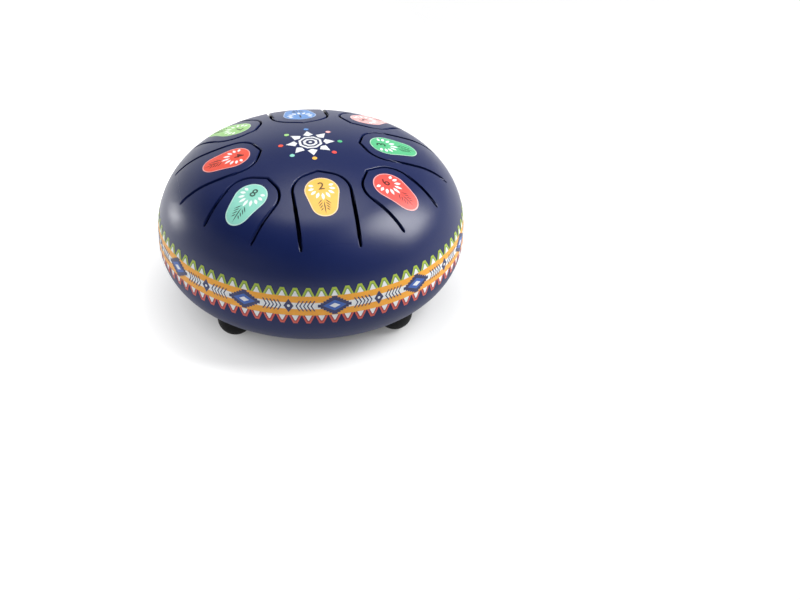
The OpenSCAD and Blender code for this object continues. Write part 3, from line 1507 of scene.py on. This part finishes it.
@dataclass
class CentrePrint:
    """The eight-pointed star with its ringed middle, and the circle of colour dots."""

    form: DrumForm
    effects: Effects
    cell: float = 1.6
    ray_foot_r: float = 6.7
    ray_side_r: float = 8.5
    ray_tip_r: float = 12.7
    ray_spread: float = 17.5
    hub_r: float = 6.3
    ring_in_r: float = 3.9
    ring_out_r: float = 5.0
    core_r: float = 2.5
    navy_share: float = 0.8
    eye_r: float = 0.9
    eye_steps: int = 12
    dot_ring_r: float = 15.3
    dot_r: float = 1.3

    def add(self, flat: BMesh, layer: Layers, name: str, slot: str, node: str, ink: Ink) -> None:
        """Lays a flat mesh on the crown and finishes it.

        Args:
            flat: The flat mesh. It is freed.
            layer: Its height over the steel.
            name: The piece's name.
            slot: The piece's slot.
            node: The node that it stands for.
            ink: The piece's ink.
        """
        draped = film(flat, layer, lambda point: self.form.on_top(*point))
        piece(draped, Label(name, "drum", slot, (node,)), ink.make(self.effects))

    def octagon(self, r: float, turn: float) -> Outline:
        """Outline of an octagon with a corner at an angle from the front."""
        return [polar(r, turn + TONGUE_TURN * i) for i in range(TONGUES)]

    def octagon_ring(self) -> BMesh:
        """The flat ring around the star's middle.

        Returns:
            The flat mesh, facing up.
        """
        flat = lathe([(self.ring_in_r, 0), (self.ring_out_r, 0)], TONGUES, closed=False)
        turn = Matrix.Rotation(math.radians(TONGUE_TURN / 2), 3, "Z")
        bmesh.ops.rotate(flat, cent=(0, 0, 0), matrix=turn, verts=flat.verts)
        return gridded(flat, self.cell)

    def build_star(self) -> None:
        """The star's white rays and hub, its navy rings and its white eye."""
        white = []
        for step in range(TONGUES):
            turn = step * TONGUE_TURN
            white.append([polar(self.ray_foot_r, turn),
                          polar(self.ray_side_r, turn + self.ray_spread),
                          polar(self.ray_tip_r, turn),
                          polar(self.ray_side_r, turn - self.ray_spread)])
        white.append(self.octagon(self.hub_r, TONGUE_TURN / 2))
        ringed = self.octagon_ring()
        navy = joined([filled([self.octagon(self.core_r, 0.0)], self.cell), ringed])
        eye = filled([disc((0, 0), self.eye_r, self.eye_steps)], self.cell)
        for name, flat, layer, colour in (
                ("white", filled(white, self.cell), Layers.GROUND, INK_WHITE),
                ("navy", navy, Layers.COLOUR, scaled(INK_NAVY, self.navy_share)),
                ("middle", eye, Layers.FIGURE, INK_WHITE)):
            self.add(flat, layer, f"star_{name}", "star_print", "centre_star",
                     Ink(f"ink_star_{name}", colour))

    def build_dots(self) -> None:
        """The dot of each note's colour on the circle around the star."""
        for note in range(1, TONGUES + 1):
            dot = disc(polar(self.dot_ring_r, note_turn(note)), self.dot_r)
            self.add(filled([dot], self.cell), Layers.GROUND, f"colour_dot_{note}", "dot_print",
                     "colour_dots", Ink(f"ink_dot_{note}", NOTE_INKS[note - 1]))

    def build(self) -> None:
        """Builds the star and the dots."""
        self.build_star()
        self.build_dots()


# Feet


@dataclass
class RubberFeet:
    """Four rubber balls, each with a stem and a barb through the bowl's wall."""

    form: DrumForm
    rubber: bpy.types.Material
    ball_r: float = 9.2
    flat: float = 0.5
    sink: float = 0.9
    lean: float = 11.7
    turn: float = -6.0
    stem_r: float = 2.5
    stem_gap: float = 0.05
    barb_r: float = 3.6
    barb_h: float = 3.4
    barb_edge: float = 0.3
    count: int = 4
    segments: int = 48
    seat_segments: int = 120

    def section(self) -> Outline:
        """Half section of the stem and the barb over the ball's middle.

        Returns:
            Its points, from the axis of the foot and back to it.
        """
        shoulder = self.form.bowl_pan.shoulder_r - self.form.wall
        seat = self.form.wall + self.stem_gap + self.barb_r ** 2 / (2 * shoulder) - self.sink
        edge = self.barb_edge
        return [(0, -self.ball_r / 2), (self.stem_r, -self.ball_r / 2), (self.stem_r, seat),
                (self.barb_r - edge, seat), (self.barb_r, seat + edge),
                (self.stem_r, seat + self.barb_h - edge),
                (self.stem_r - edge, seat + self.barb_h), (0, seat + self.barb_h)]

    def placed(self, bm: BMesh, number: int) -> BMesh:
        """Moves a mesh from a foot's own axes to one of the feet.

        Args:
            bm: The mesh, with the ball's middle at its origin and the stem along Z.
            number: Which foot, from 0.

        Returns:
            The same mesh.
        """
        bowl = self.form.bowl_pan
        arm = bowl.shoulder_r - self.sink
        lean = math.radians(self.lean)
        centre = Vector((bowl.centre_r + arm * math.sin(lean), 0, self.ball_r - self.flat))
        angle = math.radians(self.turn + (number + 0.5) * 360 / self.count - 90)
        place = (Matrix.Rotation(angle, 4, "Z") @ Matrix.Translation(centre)
                 @ Matrix.Rotation(-lean, 4, "Y"))
        bmesh.ops.transform(bm, matrix=place, verts=bm.verts)
        return bm

    def holes(self) -> BMesh:
        """The tools that cut the stems' holes in the bowl.

        Returns:
            The closed pins as one mesh.
        """
        hole_r = self.stem_r + self.stem_gap
        tools = []
        for number in range(self.count):
            pin = bmesh.new()
            bmesh.ops.create_cone(pin, cap_ends=True, segments=self.segments // 2,
                                  radius1=hole_r, radius2=hole_r, depth=self.ball_r)
            tools.append(self.placed(pin, number))
        return joined(tools)

    def shaped(self) -> BMesh:
        """The first foot: a ball with a flat, hollowed to the bowl, with its stem and barb.

        Returns:
            The closed solid.
        """
        ball = bmesh.new()
        bmesh.ops.create_uvsphere(ball, u_segments=self.segments, v_segments=self.segments // 2,
                                  radius=self.ball_r)
        self.placed(ball, 0)
        cut = bmesh.ops.bisect_plane(ball, geom=ball.verts[:] + ball.edges[:] + ball.faces[:],
                                     plane_co=(0, 0, 0), plane_no=(0, 0, 1), clear_inner=True)
        rim = [item for item in cut["geom_cut"] if isinstance(item, bmesh.types.BMEdge)]
        bmesh.ops.contextual_create(ball, geom=rim)
        bmesh.ops.recalc_face_normals(ball, faces=ball.faces)
        bowl = lathe(self.form.bowl_line(self.stem_gap) + [(0, self.form.belt_low)],
                     self.seat_segments, closed=False)
        stem = self.placed(lathe(self.section(), self.segments // 2, closed=False), 0)
        return carved(carved(ball, bowl, Carving.CUT), stem, Carving.JOIN)

    def build(self) -> None:
        """Shapes the first foot and turns a copy of it to each place."""
        first = self.shaped()
        for number in range(self.count):
            foot = first.copy()
            turn = Matrix.Rotation(number * 2 * math.pi / self.count, 3, "Z")
            bmesh.ops.rotate(foot, cent=(0, 0, 0), matrix=turn, verts=foot.verts)
            name = f"foot_{number + 1}"
            piece(foot, Label(f"rubber_{name}", "drum", "foot_rubber", (name,)), self.rubber)
        first.free()


# Studio


def outward(azimuth: float, elevation: float) -> Vector:
    """A direction away from the drum.

    Args:
        azimuth: Degrees to the right of the front.
        elevation: Degrees above level.

    Returns:
        The unit vector.
    """
    side, high = math.radians(azimuth), math.radians(elevation)
    return Vector((math.sin(side) * math.cos(high), -math.cos(side) * math.cos(high),
                   math.sin(high)))


@dataclass(frozen=True)
class PhotoCamera:
    """The camera that took the photograph, in the drum's frame."""

    width: int = 800
    focal_px: float = 1854.1
    distance: float = 0.9784
    elevation: float = 31.5
    azimuth: float = -7.88
    roll: float = -0.79
    aim_px: Point = (312.45, 219.35)
    centre_px: Point = (400.0, 300.0)
    sensor_w: float = 36.0

    def build(self, aim: Vector) -> None:
        """Adds the camera and makes it the scene's.

        Args:
            aim: The point that the photograph shows at aim_px, in metres.
        """
        back = outward(self.azimuth, self.elevation)
        forward = -back
        right = forward.cross(Vector((0, 0, 1))).normalized()
        up = right.cross(forward)
        across = (self.aim_px[0] - self.centre_px[0]) / self.focal_px
        over = (self.centre_px[1] - self.aim_px[1]) / self.focal_px
        yaw, pitch = math.atan(across), math.atan2(over, math.hypot(1, across))
        ahead = forward * math.cos(pitch) - up * math.sin(pitch)
        up = up * math.cos(pitch) + forward * math.sin(pitch)
        forward = ahead * math.cos(yaw) - right * math.sin(yaw)
        right = right * math.cos(yaw) + ahead * math.sin(yaw)
        roll = math.radians(self.roll)
        turned = right * math.cos(roll) + up * math.sin(roll)
        up = up * math.cos(roll) - right * math.sin(roll)
        data = bpy.data.cameras.new("photo_camera")
        data.sensor_width = self.sensor_w
        data.lens = self.focal_px * self.sensor_w / self.width
        camera = linked("photo_camera", data)
        rotation = Matrix((turned, up, -forward)).transposed()
        camera.matrix_world = Matrix.Translation(aim + back * self.distance) @ rotation.to_4x4()
        bpy.context.scene.camera = camera


@dataclass(frozen=True)
class SoftBox:
    """A soft light that points at the drum, in degrees, metres and watts."""

    name: str
    azimuth: float
    elevation: float
    distance: float
    width: float
    height: float
    power: float
    mirrored: bool = True

    def build(self, target: Vector) -> None:
        """Adds the light.

        Args:
            target: What the light points at, in metres.
        """
        out = outward(self.azimuth, self.elevation)
        data = bpy.data.lights.new(self.name, "AREA")
        data.shape = "RECTANGLE"
        data.size = self.width
        data.size_y = self.height
        data.energy = self.power
        lamp = linked(self.name, data)
        lamp.visible_camera = False
        lamp.visible_glossy = self.mirrored
        lamp.matrix_world = (Matrix.Translation(target + out * self.distance)
                             @ out.to_track_quat("Z", "Y").to_matrix().to_4x4())


@dataclass(frozen=True)
class Studio:
    """A pale floor whose glow holds painted shadow and painted light, a soft sky and soft lights,
    in metres.

    The floor's glow is what the camera and reflections see of it on top of its lit paper,
    and it is painted. It is kept low under the drum and rises out over two ramps, a painted
    contact shadow. It stays high near the drum and falls off away from it, painted light in
    the drum's cast shadow, and it is higher on the left, where that shadow falls, than on the
    lamp-lit right, more painted light. A glow is added far away. The sky's light is the
    product of its ramps along the axes of the view's direction.
    """

    floor_size: float = 40.0
    floor_tone: float = 0.5
    # Painted contact shadow: the glow is low under the drum and rises out.
    painted_contact_shadow: Ramp = Ramp((0.044, 0.076), (0.08, 0.72), smooth=True)
    # Outer rise of the painted contact shadow.
    painted_shadow_rim: Ramp = Ramp((0.07, 0.1), (0.0, 0.28))
    # Painted light: the glow stays high in the drum's cast shadow near it and falls off away.
    painted_shadow_fill: Ramp = Ramp((0.15, 0.34), (1.0, 0.65))
    # Painted light: the glow is higher on the left, where the drum's shadow falls, than on the
    # right.
    painted_side_light: Ramp = Ramp((-0.1, 0.12), (0.85, 0.42))
    far_glow: Ramp = Ramp((1.0, 3.0), (0.0, 0.8))
    sky_colour: Colour = (0.96, 0.98, 1.0)
    sky_ramps: tuple[tuple[str, Ramp], ...] = (
        ("Y", Ramp((-0.9, 0.5), (0.2, 1.0))),
        ("X", Ramp((-0.1, 0.7), (1.0, 0.4))),
        ("X", Ramp((-0.7, -0.2), (0.6, 1.0))),
        ("Z", Ramp((0.28, 0.62), (1.15, 0.14), smooth=True)))
    target_z: float = 0.05
    boxes: tuple[SoftBox, ...] = (
        SoftBox("right_box", azimuth=86, elevation=41, distance=4.5, width=2.2, height=3.4,
                power=310.0),
        SoftBox("top_box", azimuth=166, elevation=73, distance=2.4, width=1.3, height=1.1,
                power=18.0),
        SoftBox("left_box", azimuth=-127, elevation=0.6, distance=0.8, width=0.12, height=0.11,
                power=0.95),
        SoftBox("left_fill", azimuth=-62, elevation=22, distance=2.0, width=1.6, height=0.8,
                power=12.0, mirrored=False))

    def build(self) -> None:
        """Adds the floor, the sky and the lights."""
        self.build_floor()
        self.build_sky()
        for box in self.boxes:
            box.build(Vector((0, 0, self.target_z)))

    def floor_glow(self, sheet: NodeSheet) -> Socket:
        """Works out how bright the floor glows over its area.

        Args:
            sheet: The floor's nodes.

        Returns:
            The glow's socket.
        """
        place = sheet.add("ShaderNodeTexCoord").outputs["Object"]
        length = sheet.add("ShaderNodeVectorMath", operation="LENGTH", Vector=place)
        reach = length.outputs["Value"]
        side = sheet.add("ShaderNodeSeparateXYZ", Vector=place).outputs["X"]
        # The glow kept low under the drum is a painted contact shadow.
        rise = sheet.math("ADD", sheet.ramp(reach, self.painted_contact_shadow),
                          sheet.ramp(reach, self.painted_shadow_rim))
        # The glow raised near the drum and on its left is painted light in its cast shadow.
        near = sheet.product(rise, sheet.ramp(reach, self.painted_shadow_fill),
                             sheet.ramp(side, self.painted_side_light))
        return sheet.math("ADD", near, sheet.ramp(reach, self.far_glow))

    def build_floor(self) -> None:
        """The floor, which the camera sees nearly white but for the drum's shadow, partly cast by
        the lamps and partly painted into its glow.
        """
        material = bpy.data.materials.new("studio_floor")
        material.use_nodes = True
        sheet = NodeSheet(material.node_tree)
        paper = sheet.add("ShaderNodeBsdfDiffuse", Color=(self.floor_tone,) * 3)
        path = sheet.add("ShaderNodeLightPath").outputs
        seen = path["Is Camera Ray"]
        for ray in ("Is Glossy Ray", "Is Transmission Ray"):
            seen = sheet.math("MAXIMUM", seen, path[ray])
        glow = sheet.add("ShaderNodeEmission", Color=(1, 1, 1),
                         Strength=sheet.product(seen, self.floor_glow(sheet)))
        both = sheet.add("ShaderNodeAddShader")
        sheet.feed(both.inputs[0], paper.outputs[0])
        sheet.feed(both.inputs[1], glow.outputs[0])
        sheet.add("ShaderNodeOutputMaterial", Surface=both.outputs[0])
        bm = bmesh.new()
        bmesh.ops.create_grid(bm, x_segments=1, y_segments=1, size=self.floor_size / 2)
        floor = linked("studio_floor", mesh_of(bm, "studio_floor"))
        floor.data.materials.append(material)

    def build_sky(self) -> None:
        """The sky: pale along the horizon, dimmer above and towards the front."""
        world = bpy.data.worlds.new("studio_sky")
        world.use_nodes = True
        sheet = NodeSheet(world.node_tree)
        direction = sheet.add("ShaderNodeTexCoord").outputs["Generated"]
        axes = sheet.add("ShaderNodeSeparateXYZ", Vector=direction).outputs
        level = sheet.product(*(sheet.ramp(axes[axis], ramp) for axis, ramp in self.sky_ramps))
        sky = sheet.add("ShaderNodeBackground", Color=self.sky_colour, Strength=level)
        sheet.add("ShaderNodeOutputWorld", Surface=sky.outputs[0])
        bpy.context.scene.world = world


def main() -> None:
    """Loads the frame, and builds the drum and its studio."""
    logging.basicConfig(level=logging.INFO, format="%(name)s: %(message)s")
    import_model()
    form = DrumForm.reaching(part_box("upper_shell")[1].z / MM)
    bpy.context.scene.view_settings.view_transform = "Standard"
    PhotoCamera().build(Vector((0, 0, form.belt_top * MM)))
    Studio().build()
    effects = Effects()
    plan = TonguePlan()
    steel = Enamel("navy_enamel", NAVY).make(effects)
    bowl_steel = Enamel("bowl_enamel", NAVY, roughness=0.42, specular=0.22).make(effects)
    bond = Rubber("cured_bond", BOND_GREY, roughness=0.5).make(effects)
    feet = RubberFeet(form, Rubber("black_rubber", BLACK).make(effects))
    SteelPans(form, plan, steel, bowl_steel, bond, feet.holes()).build()
    BeltPrint(form, effects).build()
    NoteMarks(form, plan, effects).build()
    CentrePrint(form, effects).build()
    feet.build()


if __name__ == "__main__":
    main()
